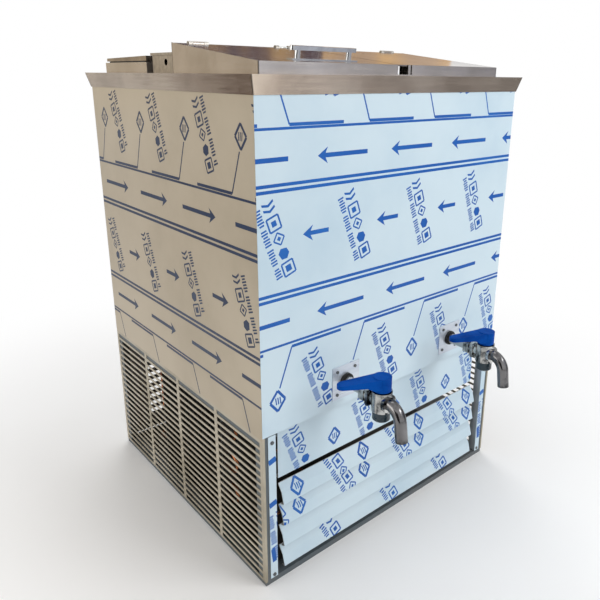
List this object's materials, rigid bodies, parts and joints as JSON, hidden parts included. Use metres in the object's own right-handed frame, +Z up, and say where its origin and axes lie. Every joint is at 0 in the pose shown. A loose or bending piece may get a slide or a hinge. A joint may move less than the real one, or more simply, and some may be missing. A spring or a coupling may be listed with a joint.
{
  "type": "bulk milk tank",
  "caption": "Upright insulated bulk milk tank on a cooled machine bay with louvres and side grilles, hinged lids on top and lever taps with bent spouts on the front.",
  "frame": {"origin": "on the floor, under the middle of the body", "axes": "+X to the right side, +Y to the back, +Z up; the taps are on the -Y front"},
  "size_m": [0.898, 1.0369, 1.2745],
  "materials": {
    "film_front": "satin",
    "film_left": "satin",
    "film_right": "satin",
    "steel_back": "satin",
    "steel_strip": "satin",
    "paint_cream": "satin",
    "paint_slate": "satin",
    "steel_galvanised": "satin",
    "steel_rim": "satin",
    "steel_upstand": "satin",
    "steel_vessel": "satin",
    "steel_lid": "gloss",
    "steel_polished": "polished",
    "steel_plate": "satin",
    "chrome_valve": "polished",
    "steel_spout": "gloss",
    "screw_dark": "satin",
    "foam": "matte",
    "rubber_black": "matte",
    "plastic_white": "satin",
    "plastic_blue": "gloss",
    "cap_teal": "satin",
    "copper": "gloss",
    "paint_black": "satin",
    "fin_aluminium": "satin",
    "fan_aluminium": "satin",
    "motor_grey": "satin",
    "box_grey": "satin"
  },
  "bodies": {
    "tank": {"base_frame": "paint_slate", "base_plate": "steel_galvanised", "deck_plate": "steel_galvanised", "front_panel": "film_front", "left_panel": "film_left", "right_panel": "film_right", "back_panel": "steel_back", "left_grille": "paint_cream", "right_grille": "paint_cream", "back_cover": "steel_back", "front_fascia": "film_front", "louvre_panel": "film_front", "left_front_strip": "steel_strip", "right_front_strip": "steel_strip", "cover_screws": "screw_dark", "rim_band": "steel_rim", "milk_vessel": "steel_vessel", "foam_insulation": "foam", "front_upstand": "steel_upstand", "rear_upstand": "steel_upstand", "bridge": "steel_upstand", "bridge_cover": "steel_upstand", "lid_seals": "rubber_black", "lid_hinge_pins": "steel_polished", "agitator_gearmotor": "motor_grey", "agitator_bush": "plastic_white", "outlet_pipes": "steel_vessel", "tap_plates": "steel_plate", "tap_screws": "screw_dark", "tap_collars": "rubber_black", "left_valve_body": "chrome_valve", "right_valve_body": "chrome_valve", "valve_seats": "plastic_white", "gland_nuts": "screw_dark", "valve_caps": "cap_teal", "spouts": "steel_spout", "evaporator_coil": "copper", "refrigerant_lines": "copper", "filter_drier": "copper", "compressor": "paint_black", "compressor_mounts": "rubber_black", "condenser_fins": "fin_aluminium", "condenser_tubes": "copper", "fan_shroud": "paint_black", "fan_motor": "motor_grey", "control_box": "box_grey"},
    "left_lid": {"left_lid": "steel_lid", "left_lid_handle": "steel_polished"},
    "right_lid": {"right_lid": "steel_lid"},
    "rear_lid": {"rear_lid": "steel_lid", "rear_lid_handle": "steel_polished"},
    "left_tap_lever": {"left_lever": "plastic_blue", "left_stem": "steel_polished", "left_ball": "steel_polished"},
    "right_tap_lever": {"right_lever": "plastic_blue", "right_stem": "steel_polished", "right_ball": "steel_polished"},
    "agitator": {"agitator_shaft": "steel_polished", "agitator_paddle": "steel_vessel"},
    "fan": {"fan": "fan_aluminium"}
  },
  "joints": [
    {"name": "left_lid_hinge", "type": "hinge", "parent": "tank", "child": "left_lid", "pos_m": [-0.1985, -0.013, 1.2685], "axis": [-1, 0, 0], "range_deg": [0, 95]},
    {"name": "right_lid_hinge", "type": "hinge", "parent": "tank", "child": "right_lid", "pos_m": [0.1985, -0.013, 1.2685], "axis": [-1, 0, 0], "range_deg": [0, 95]},
    {"name": "rear_lid_hinge", "type": "hinge", "parent": "tank", "child": "rear_lid", "pos_m": [0, 0.39, 1.237], "axis": [-1, 0, 0], "range_deg": [0, 95]},
    {"name": "left_tap_turn", "type": "hinge", "parent": "tank", "child": "left_tap_lever", "pos_m": [-0.186, -0.534, 0.479], "axis": [0, 0, 1], "range_deg": [-90, 0]},
    {"name": "right_tap_turn", "type": "hinge", "parent": "tank", "child": "right_tap_lever", "pos_m": [0.217, -0.534, 0.479], "axis": [0, 0, 1], "range_deg": [-90, 0]},
    {"name": "agitator_spin", "type": "hinge", "parent": "tank", "child": "agitator", "pos_m": [0, 0.0515, 1.2], "axis": [0, 0, 1], "continuous": true},
    {"name": "fan_spin", "type": "hinge", "parent": "tank", "child": "fan", "pos_m": [-0.315, 0.02, 0.19], "axis": [1, 0, 0], "continuous": true}
  ]
}
